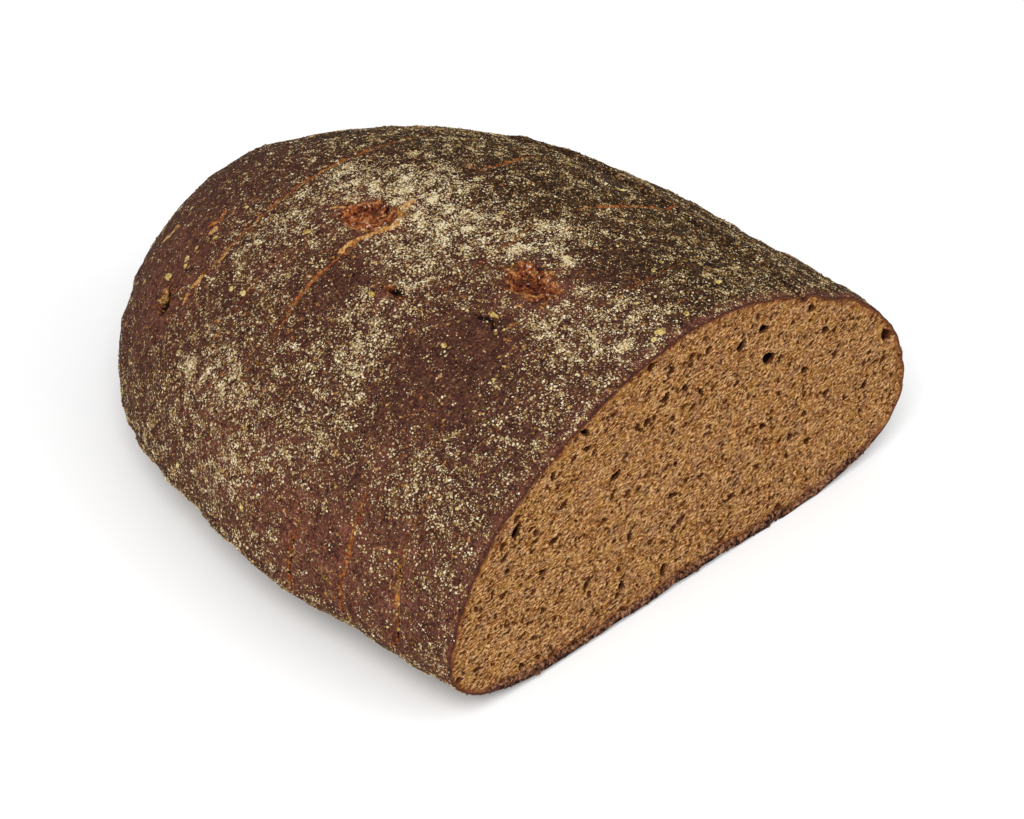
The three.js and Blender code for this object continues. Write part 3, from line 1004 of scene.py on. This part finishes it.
def makeBranFlakes():
    count = bran["count"]
    rng = np.random.default_rng(bran["seed"])
    weights = (0.4 + flourGrid) * smoothStep(3, 8, outerCrust[..., 2]) * (1 - tornGrid)
    point, away, _ = pickOnCrust(rng, count, weights)
    long = between(bran["least"], bran["most"], rng.random(count) ** 2)
    wide = long * (0.45 + 0.4 * rng.random(count))
    axes = axesOn(rng, away)
    for i, (x, y, flakeLong, flakeWide, turn) in enumerate(branNamed):
        point[i], away[i], axes[0][i], axes[1][i] = domePlace(x, y, turn)
        long[i], wide[i] = flakeLong, flakeWide
    bm = bmesh.new()
    bmesh.ops.create_grid(bm, x_segments=4, y_segments=3, size=1)
    for vert in bm.verts:
        rounded = 1 - bran["rounding"] * abs(vert.co.x * vert.co.y)
        vert.co.x *= rounded
        vert.co.y *= rounded
    bmesh.ops.solidify(bm, geom=bm.faces, thickness=0.01)
    mesh, shape = copiesOf(bm, "branFlakes", count)
    middle, scatter = bran["curl"]
    curl = rng.normal(0, scatter, count)[:, None] + middle
    twist = rng.normal(0, bran["twist"], count)[:, None]
    wobble = 1 + bran["raggedness"] * rng.uniform(-1, 1, (count, len(shape) // 2))
    wobble = np.tile(wobble, 2)
    u, v, level = shape.T[:, None]
    halfLong, halfWide = long[:, None] / 2, wide[:, None] / 2
    height = ((level > level.mean()) - 0.5) * bran["thickness"]
    height = height + (curl * u ** 2 + twist * u * v) * halfWide
    local = np.stack([halfLong * u * wobble, halfWide * v * wobble, height], axis=-1)
    setPlaces(mesh, placedOn(local, axes, point + away * bran["standOff"]))
    tint = rng.random(count)
    tint[: len(branNamed)] = 0.5 + 0.4 * tint[: len(branNamed)]
    setValues(mesh, "tint", np.repeat(tint, len(shape)))
    closeMesh(mesh, 0.0000001)
    return addPiece("branFlakes", mesh)


branObject = makeBranFlakes()


# rough nubs of burnt crust along the lower edge of the cut
nubs = {
    "count": 560,
    "seed": 31,
    "least": 0.5,
    "most": 1.3,
    "top": 8,  # how high up the outline they go
    "across": 2.3,
    "back": 2.2,
    "onFace": 0.75,  # share of them on the cut, the others under the edge
    "thickness": 0.7,
}


def makeNubs():
    rng = np.random.default_rng(nubs["seed"])
    count, top = nubs["count"], nubs["top"]
    outline = cutOutline[cutOutline[:, 2] < top]
    outline = outline[np.argsort(np.arctan2(outline[:, 2] - top * 2, outline[:, 0]))]
    lengths = np.linalg.norm(np.diff(outline, axis=0), axis=1)
    lengths = np.concatenate([[0], np.cumsum(lengths)])
    place = rng.random(count) * lengths[-1]
    x, z = [np.interp(place, lengths, outline[:, i]) for i in (0, 2)]
    size = between(nubs["least"], nubs["most"], rng.random(count) ** 2)
    inward = unit(np.stack([-x / 90, np.zeros(count), np.ones(count)], axis=1))
    across = rng.random(count) ** 1.4 * nubs["across"]
    onFace = rng.random(count) < nubs["onFace"]
    across = np.where(onFace, across, 0.0)
    y = np.where(onFace, 0.1 + 0.3 * size, nubs["back"] * rng.random(count))
    point = np.stack([x, y, z], axis=1) + inward * across[:, None]
    point[:, 2] = np.maximum(point[:, 2], form["settle"] + 0.4 * size)
    bm = bmesh.new()
    bmesh.ops.create_icosphere(bm, subdivisions=1, radius=1)
    mesh, shape = copiesOf(bm, "baseNubs", count)
    axes = axesOn(rng, np.tile([[0.0, -1.0, 0.0]], (count, 1)))
    stretch = [0.8 + 0.6 * rng.random(count), 0.6 + 0.3 * rng.random(count)]
    stretch = np.stack([*stretch, np.full(count, nubs["thickness"])], axis=1)
    co = placedOn(roughened(rng, shape, stretch, size), axes, point)
    co[..., 2] = np.maximum(co[..., 2], form["settle"])
    setPlaces(mesh, co)
    tint = 0.25 + 0.35 * across / nubs["across"] + 0.4 * rng.random(count) ** 1.5
    setValues(mesh, "tint", np.repeat(tint, len(shape)))
    closeMesh(mesh, 0.0000001)
    return addPiece("baseNubs", mesh)


nubsObject = makeNubs()


# linear colour from one given as 0 to 255
def linear(colour):
    values = [c / 255 for c in colour]
    return [c / 12.92 if c <= 0.04045 else ((c + 0.055) / 1.055) ** 2.4 for c in values] + [1]


# links a socket to an input, or sets the input to a value
def feed(target, source):
    if isinstance(source, bpy.types.NodeSocket):
        target.id_data.links.new(source, target)
    else:
        target.default_value = source


def addNode(tree, kind, inputs=None, **settings):
    node = tree.nodes.new("ShaderNode" + kind)
    for name, value in settings.items():
        setattr(node, name, value)
    for name, source in (inputs or {}).items():
        feed(node.inputs[name], source)
    return node.outputs


# the helpers below work in the tree of their first socket
def calc(operation, *values):
    return addNode(values[0].id_data, "Math", dict(enumerate(values)), operation=operation)[0]


def times(first, second):
    return calc("MULTIPLY", first, second)


def plus(first, second):
    return calc("ADD", first, second)


def scaled(value, factor, offset):
    return calc("MULTIPLY_ADD", value, factor, offset)


def rangeOf(value, low, high, toLow=0.0, toHigh=1.0, kind="SMOOTHSTEP"):
    inputs = {"Value": value, "From Min": low, "From Max": high, "To Min": toLow, "To Max": toHigh}
    return addNode(value.id_data, "MapRange", inputs, interpolation_type=kind)[0]


def mixColours(share, *colours):
    first, second = [linear(c) if isinstance(c, tuple) else c for c in colours]
    return addNode(share.id_data, "Mix", {0: share, 6: first, 7: second}, data_type="RGBA")[2]


# a colour ramp through the given stops
def rampOf(value, stops):
    colour = addNode(value.id_data, "ValToRGB", {0: value})["Color"]
    elements = colour.node.color_ramp.elements
    for index, (place, stop) in enumerate(stops):
        element = elements[index] if index < 2 else elements.new(place)
        element.position = place
        element.color = linear(stop)
    return colour


def noiseNode(place, scale, detail, roughness=0.6, output="Fac"):
    inputs = {"Vector": place, "Scale": scale, "Detail": detail, "Roughness": roughness}
    return addNode(place.id_data, "TexNoise", inputs)[output]


def attributeValue(tree, name):
    return addNode(tree, "Attribute", attribute_name=name)["Fac"]


# object coordinates in millimetres
def millimetres(tree):
    place = addNode(tree, "TexCoord")["Object"]
    return addNode(tree, "Mapping", {"Vector": place, "Scale": (1000, 1000, 1000)})[0]


# random cells, each with its own chance from 0 to 1
def cellsOf(place, scale):
    cells = addNode(place.id_data, "TexVoronoi", {"Vector": place, "Scale": scale}, feature="F1")
    return cells, addNode(place.id_data, "SeparateColor", {0: cells["Color"]})[0]


# a node group with named inputs and outputs; an input without a default is a vector
def newGroup(name, inputs, outputs):
    tree = bpy.data.node_groups.new(name, "ShaderNodeTree")
    for label, default in inputs.items():
        kind = "NodeSocketVector" if default is None else "NodeSocketFloat"
        socket = tree.interface.new_socket(label, in_out="INPUT", socket_type=kind)
        if default is not None:
            socket.default_value = default
    for label in outputs:
        tree.interface.new_socket(label, in_out="OUTPUT", socket_type="NodeSocketFloat")
    return tree, tree.nodes.new("NodeGroupInput").outputs, tree.nodes.new("NodeGroupOutput").inputs


# fine flour: ragged specks that gather in clumps, thicker where the density is higher
def makeFlourSpeckle():
    group, given, out = newGroup("flourSpeckle", {"Vector": None, "Density": 0.3}, ["Specks", "Tint"])
    place = given["Vector"]
    clump = rangeOf(noiseNode(place, 0.33, 2), 0.3, 0.7, -0.3, 0.3, "LINEAR")
    chance = cellsOf(place, 2.3)[1]
    blot = scaled(chance, 0.1, noiseNode(place, 1.3, 3, 0.7))
    middle = rangeOf(plus(given["Density"], clump), 0, 1, 0.735, 0.54, "LINEAR")
    feed(out["Specks"], rangeOf(blot, calc("SUBTRACT", middle, 0.04), plus(middle, 0.07)))
    feed(out["Tint"], noiseNode(place, 1.7, 2))
    return group


# the line of one slit, from the angle round the section and the place along the loaf
def makeSlitLine():
    inputs = ("Degrees", "Along", "Waver", "From", "To", "Station", "Drift", "Width")
    ends = {"To": 1.0, "Width": 1.0}
    group, given, out = newGroup(
        "slitLine", {name: ends.get(name, 0.0) for name in inputs}, ["Line", "Core"]
    )
    share = rangeOf(given["Degrees"], given["From"], given["To"], 0, 1, "LINEAR")
    drift = scaled(share, given["Drift"], given["Station"])
    bend = times(calc("SINE", scaled(share, slitBend["turns"], given["Station"])), slitBend["reach"])
    middle = plus(plus(drift, bend), given["Waver"])
    offset = calc("ABSOLUTE", calc("SUBTRACT", given["Along"], middle))
    ends = calc("SINE", times(share, math.pi))
    reach = calc("DIVIDE", offset, plus(times(given["Width"], ends), 0.0001))
    fade = rangeOf(ends, 0.02, 0.35)
    feed(out["Line"], times(rangeOf(reach, 0.66, 0.3), fade))
    feed(out["Core"], times(rangeOf(reach, 0.36, 0.14), fade))
    return group


# round pores of random size, one to a cell: how deep a place lies in one, and the lit ring round it
def makePoreCells():
    inputs = {"Vector": None, "Scale": 1.0, "Least": 0.1, "Most": 0.4}
    group, given, out = newGroup("poreCells", inputs, ["Pore", "Ring"])
    cells, chance = cellsOf(given["Vector"], given["Scale"])
    radius = rangeOf(times(chance, chance), 0, 1, given["Least"], given["Most"], "LINEAR")
    reach = calc("DIVIDE", cells["Distance"], radius)
    feed(out["Pore"], rangeOf(reach, 1.0, 0.55))
    feed(out["Ring"], times(rangeOf(reach, 0.85, 1.1), rangeOf(reach, 1.7, 1.15)))
    return group


flourSpeckle = makeFlourSpeckle()
slitLine = makeSlitLine()
poreCells = makePoreCells()


# a material, its tree and its shader's inputs
def newMaterial(name, look):
    material = bpy.data.materials.new(name)
    material.use_nodes = True
    shader = material.node_tree.nodes["Principled BSDF"].inputs
    shader["Roughness"].default_value = look["roughness"]
    shader["Specular IOR Level"].default_value = look["specular"]
    return material, material.node_tree, shader


# colour and bump; relief is a height in units of the distance, which is in metres
def finishMaterial(shader, colour, relief, strength=1.0, distance=0.001):
    feed(shader["Base Color"], colour)
    inputs = {"Height": relief, "Strength": strength, "Distance": distance}
    feed(shader["Normal"], addNode(relief.id_data, "Bump", inputs)[0])


crustLook = {
    "roughness": 0.82,
    "specular": 0.05,
    "flourRoughness": 0.95,
    "places": (0.3, 0.42, 0.55, 0.7),  # of the next four on their ramps
    "purple": [(32, 17, 15), (57, 32, 27), (74, 44, 36), (104, 64, 50)],
    "olive": [(14, 8, 5), (32, 19, 12), (50, 33, 21), (84, 60, 38)],
    "red": [(47, 23, 19), (83, 45, 37), (104, 61, 49), (138, 90, 71)],
    "base": [(20, 14, 13), (34, 24, 22), (44, 31, 27), (74, 46, 38)],
    "rust": (112, 60, 34),
    "moss": (96, 70, 38),
    "torn": [(0.31, (46, 21, 16)), (0.4, (96, 47, 32)), (0.5, (146, 77, 38)), (0.64, (210, 150, 92))],
    "slit": [(0.38, (122, 50, 24)), (0.5, (162, 82, 38)), (0.62, (200, 134, 68))],
    "rim": [(0.1, (58, 34, 30)), (0.45, (92, 50, 34)), (0.9, (128, 76, 44))],
    "burnt": [
        (0.08, (26, 14, 10)),
        (0.3, (70, 44, 33)),
        (0.5, (96, 60, 44)),
        (0.75, (130, 84, 58)),
        (1.0, (174, 130, 96)),
    ],
    "lip": [(0.38, (150, 88, 38)), (0.5, (180, 126, 66)), (0.62, (208, 176, 120))],
    "flour": [
        (0.45, (120, 84, 40)),
        (0.62, (160, 130, 84)),
        (0.78, (202, 182, 142)),
        (0.92, (230, 216, 182)),
    ],
    "glint": (228, 202, 180),
    # painted shade, near black, for the slits' cores, the pits, slots and other hollows
    "pit": (18, 9, 7),
}


def makeCrustMaterial():
    look = crustLook
    material, tree, shader = newMaterial("ryeCrust", look)
    place = millimetres(tree)
    section = addNode(tree, "UVMap", uv_map="section")[0]
    parts = addNode(tree, "SeparateXYZ", {0: section})
    degrees, along = times(parts["X"], 360), times(parts["Y"], 1000)
    names = ("red", "torn", "dark", "lip", "flour", "low", "rim", "ringIn")
    red, tornHere, dark, lipHere, flour, low, rim, ringIn = [attributeValue(tree, n) for n in names]

    # the bare crust: olive right of the crown, purple left of it, redder in places
    broad = noiseNode(place, 0.05, 3)
    mottle = noiseNode(place, 0.35, 4, 0.65)
    grain = noiseNode(place, 1.6, 4, 0.62)
    hue = noiseNode(place, 0.75, 3)
    tone = scaled(grain, 1.0, scaled(mottle, 0.5, -0.25))
    across = addNode(tree, "SeparateXYZ", {0: place})["X"]
    leftShare = rangeOf(scaled(broad, 40, across), 42, 4)
    olive, purple, redder, base = [
        rampOf(tone, zip(look["places"], look[name])) for name in ("olive", "purple", "red", "base")
    ]
    bare = mixColours(leftShare, olive, purple)
    bare = mixColours(times(red, rangeOf(mottle, 0.3, 0.47)), bare, redder)
    bare = mixColours(rangeOf(hue, 0.55, 0.68, 0, 0.5), bare, look["rust"])
    mossShare = times(rangeOf(hue, 0.45, 0.33), scaled(red, -0.5, 0.6))
    bare = mixColours(mossShare, bare, look["moss"])
    bare = mixColours(times(low, 0.85), bare, base)

    # slits: broken tan lines, with painted shade along their cores in places
    waver = scaled(noiseNode(place, 0.45, 4, 0.7), 3.6, -1.8)
    lines, coreShade = None, None
    for slit in slits:
        values = {"Degrees": degrees, "Along": along, "Waver": waver}
        for name in ("From", "To", "Station", "Drift", "Width"):
            values[name] = float(slit[name.lower()])
        found = addNode(tree, "Group", values, node_tree=slitLine)
        line, core = times(found["Line"], slit["glow"]), times(found["Core"], slit["core"])
        lines = calc("MAXIMUM", lines, line) if lines else line
        coreShade = calc("MAXIMUM", coreShade, core) if coreShade else core
    lines = times(lines, rangeOf(hue, 0.38, 0.5, 0.5, 1))
    slitTone = scaled(broad, 0.8, plus(grain, -0.4))
    colour = mixColours(lines, bare, rampOf(slitTone, look["slit"]))
    coreShade = times(coreShade, rangeOf(mottle, 0.44, 0.52, 0.2, 1))
    colour = mixColours(coreShade, colour, look["pit"])

    # torn crumb in the docking holes, with ragged edges
    tornNoise = noiseNode(place, 0.85, 3, 0.65)
    torn = rangeOf(scaled(tornNoise, 2.2, plus(tornHere, -1.1)), 0.3, 0.75)
    # the torn crumb is darker where painted shade is marked
    tornTone = scaled(dark, -0.16, scaled(grain, 0.7, scaled(mottle, 0.9, -0.28)))
    colour = mixColours(torn, colour, rampOf(tornTone, look["torn"]))
    glint = times(torn, rangeOf(noiseNode(place, 1.0, 2), 0.64, 0.68))
    colour = mixColours(glint, colour, look["glint"])

    # flour lies on all of it, thinly where the crust is torn
    speckle = {"Vector": place, "Density": flour}
    speckle = addNode(tree, "Group", speckle, node_tree=flourSpeckle)
    specks = times(speckle["Specks"], scaled(calc("MAXIMUM", torn, lines), -0.8, 1.0))
    flourTone = scaled(specks, 0.35, speckle["Tint"])
    colour = mixColours(specks, colour, rampOf(flourTone, look["flour"]))
    # painted shade, near black, in the pits, slots, holes and the thin cut, over the flour too
    colour = mixColours(rangeOf(dark, 0.5, 0.95, 0, 0.9), colour, look["pit"])
    lip = rangeOf(scaled(hue, 2.6, plus(lipHere, -1.15)), 0.4, 0.75)
    colour = mixColours(lip, colour, rampOf(grain, look["lip"]))

    # the rim along the knife cut, near black at the base
    rimTone = scaled(grain, 1.6, plus(ringIn, -0.8))
    burnt = scaled(ringIn, 0.34, scaled(hue, 2.6, -2.6))
    burnt = scaled(noiseNode(place, 1.3, 3, 0.7), 3.2, burnt)
    rimColour = mixColours(low, rampOf(rimTone, look["rim"]), rampOf(burnt, look["burnt"]))
    colour = mixColours(rim, colour, rimColour)
    dull = rangeOf(specks, 0, 1, look["roughness"], look["flourRoughness"], "LINEAR")
    feed(shader["Roughness"], dull)

    # the bump, each part by its height in mm
    relief = scaled(grain, 0.45, times(mottle, 0.4))
    rough = times(torn, tornNoise), times(times(rim, low), hue)
    for part, height in zip((specks, lines, lip, *rough), (0.1, -0.3, 0.2, 1.4, 2.4)):
        relief = scaled(part, height, relief)
    finishMaterial(shader, colour, relief)
    return material


crumbLook = {
    "roughness": 0.95,
    "specular": 0.04,
    "rising": 10,  # degrees by which the drawn-out crumb rises to the right
    "drawnOut": (2.2, 1, 0.9),
    "tone": [
        (0.26, (92, 42, 10)),
        (0.39, (136, 83, 39)),
        (0.52, (161, 106, 56)),
        (0.65, (188, 131, 73)),
        (0.78, (242, 194, 134)),
    ],
    "yellow": (182, 134, 60),
    "grey": (142, 98, 76),
    "lit": (232, 188, 138),
    # pore and deep: painted shade inside the pores
    "pore": (80, 36, 16),
    "deep": (18, 8, 4),
    "edge": (142, 78, 40),
    "outer": (104, 52, 32),
    "coarse": {"Scale": 0.66, "Least": 0.12, "Most": 0.42},
    "fine": {"Scale": 1.4, "Least": 0.12, "Most": 0.46},
}


def makeCrumbMaterial():
    look = crumbLook
    material, tree, shader = newMaterial("ryeCrumb", look)
    place = millimetres(tree)
    rising = (0, math.radians(-look["rising"]), 0)
    drawn = {"Vector": place, "Rotation": rising, "Scale": look["drawnOut"]}
    drawn = addNode(tree, "Mapping", drawn, vector_type="TEXTURE")[0]
    grain = noiseNode(drawn, 2.3, 4, 0.66)
    weave = noiseNode(drawn, 0.7, 2)
    hue = noiseNode(place, 0.28, 3)
    colour = rampOf(scaled(grain, 2.8, scaled(weave, 0.4, -1.06)), look["tone"])

    # pores too small for the mesh, in two sizes, in the bump and as painted shade
    bent = noiseNode(place, 1.3, 1.0, 0.5, "Color")
    bent = addNode(tree, "VectorMath", {0: bent, 1: drawn}, operation="ADD")[0]
    coarse, fine = [
        addNode(tree, "Group", {"Vector": bent, **look[name]}, node_tree=poreCells)
        for name in ("coarse", "fine")
    ]
    small = calc("MAXIMUM", coarse["Pore"], times(fine["Pore"], 0.85))
    ring = calc("MAXIMUM", coarse["Ring"], times(fine["Ring"], 0.6))
    pore = attributeValue(tree, "pore")

    # nearness to the crust, where the crumb is darker, more so above the base
    waver = scaled(noiseNode(place, 0.8, 4, 0.7), 6.0, -3.0)
    height = addNode(tree, "SeparateXYZ", {0: place})["Z"]
    nearness = plus(attributeValue(tree, "depthIn"), waver)
    nearness = calc("SUBTRACT", nearness, rangeOf(height, 9, 4, 0, 2.2))
    layers = [
        (rangeOf(hue, 0.52, 0.62, 0, 0.35), "yellow"),
        (rangeOf(hue, 0.46, 0.36, 0, 0.35), "grey"),
        # a painted highlight round the small pores, and painted shade in all pores, darkest in the deep
        # ones
        (times(ring, 0.45), "lit"),
        (times(small, 0.85), "pore"),
        (rangeOf(pore, 0.06, 0.3, 0, 0.85), "pore"),
        (rangeOf(pore, 0.5, 0.95), "deep"),
        (rangeOf(nearness, 2.6, 0.4, 0, 0.5), "edge"),
        (rangeOf(nearness, 1.1, 0, 0, 0.6), "outer"),
    ]
    for share, name in layers:
        colour = mixColours(share, colour, look[name])
    relief = scaled(weave, 0.5, scaled(small, -0.7, times(grain, 1.3)))
    finishMaterial(shader, colour, relief)
    return material


# loose bits: a tint of their own with a fine grain over it
grainLook = {
    "roughness": 0.95,
    "specular": 0.05,
    "flour": [
        (0.1, (110, 78, 40)),
        (0.4, (174, 142, 92)),
        (0.75, (218, 198, 154)),
        (1.0, (238, 226, 194)),
    ],
    "bran": [(0.2, (96, 66, 28)), (0.5, (150, 118, 58)), (0.75, (188, 164, 94)), (1.0, (214, 196, 142))],
    "nubs": [(0.0, (46, 30, 22)), (0.3, (84, 58, 44)), (0.6, (116, 76, 54)), (1.0, (164, 112, 76))],
}


# scale: of the grain, rough: how much it changes the tint
def makeGrainMaterial(name, stops, scale, rough):
    material, tree, shader = newMaterial(name, grainLook)
    grain = noiseNode(millimetres(tree), scale, 3)
    share = scaled(grain, rough, plus(attributeValue(tree, "tint"), -rough / 2))
    finishMaterial(shader, rampOf(share, grainLook[stops]), grain, 0.8, 0.0004)
    return material


crustObject.data.materials.append(makeCrustMaterial())
crumbObject.data.materials.append(makeCrumbMaterial())
flourMaterial = makeGrainMaterial("ryeFlour", "flour", 3.0, 0.5)
for flourObject in flourObjects:
    flourObject.data.materials.append(flourMaterial)
branObject.data.materials.append(makeGrainMaterial("ryeBran", "bran", 1.6, 2.4))
nubsObject.data.materials.append(makeGrainMaterial("ryeNubs", "nubs", 1.6, 1.6))
print("materials made")


studio = {
    "floorSize": 3.0,
    "floor": ((246, 246, 246), (250, 250, 250)),
    "floorLook": {"roughness": 0.9, "specular": 0.1},
    "world": 0.72,
    "aim": (0, 0, 0.03),
    "lights": {  # place, size, power
        "keyLight": ((-0.75, -0.55, 0.95), 0.9, 12.0),
        "fillLight": ((0.5, -0.9, 0.6), 1.0, 3.5),
    },
}


def makeFloor():
    bm = bmesh.new()
    bmesh.ops.create_grid(bm, x_segments=1, y_segments=1, size=studio["floorSize"])
    floor = linkNew("floor", meshFrom(bm, "floor"))
    material, tree, shader = newMaterial("paleFloor", studio["floorLook"])
    tone = noiseNode(addNode(tree, "TexCoord")["Object"], 3.0, 2, 0.5)
    feed(shader["Base Color"], mixColours(rangeOf(tone, 0.3, 0.7), *studio["floor"]))
    floor.data.materials.append(material)


def setLight():
    world = bpy.data.worlds.new("studioWorld")
    world.use_nodes = True
    background = world.node_tree.nodes["Background"].inputs
    background["Color"].default_value = (1, 1, 1, 1)
    background["Strength"].default_value = studio["world"]
    bpy.context.scene.world = world
    for name, (place, size, power) in studio["lights"].items():
        data = bpy.data.lights.new(name, "AREA")
        data.shape = "DISK"
        data.size = size
        data.energy = power
        light = linkNew(name, data)
        light.location = place
        away = Vector(place) - Vector(studio["aim"])
        light.rotation_euler = away.to_track_quat("Z", "Y").to_euler()
    bpy.context.scene.view_settings.view_transform = "Standard"


makeFloor()
setLight()
print("floor and light set")
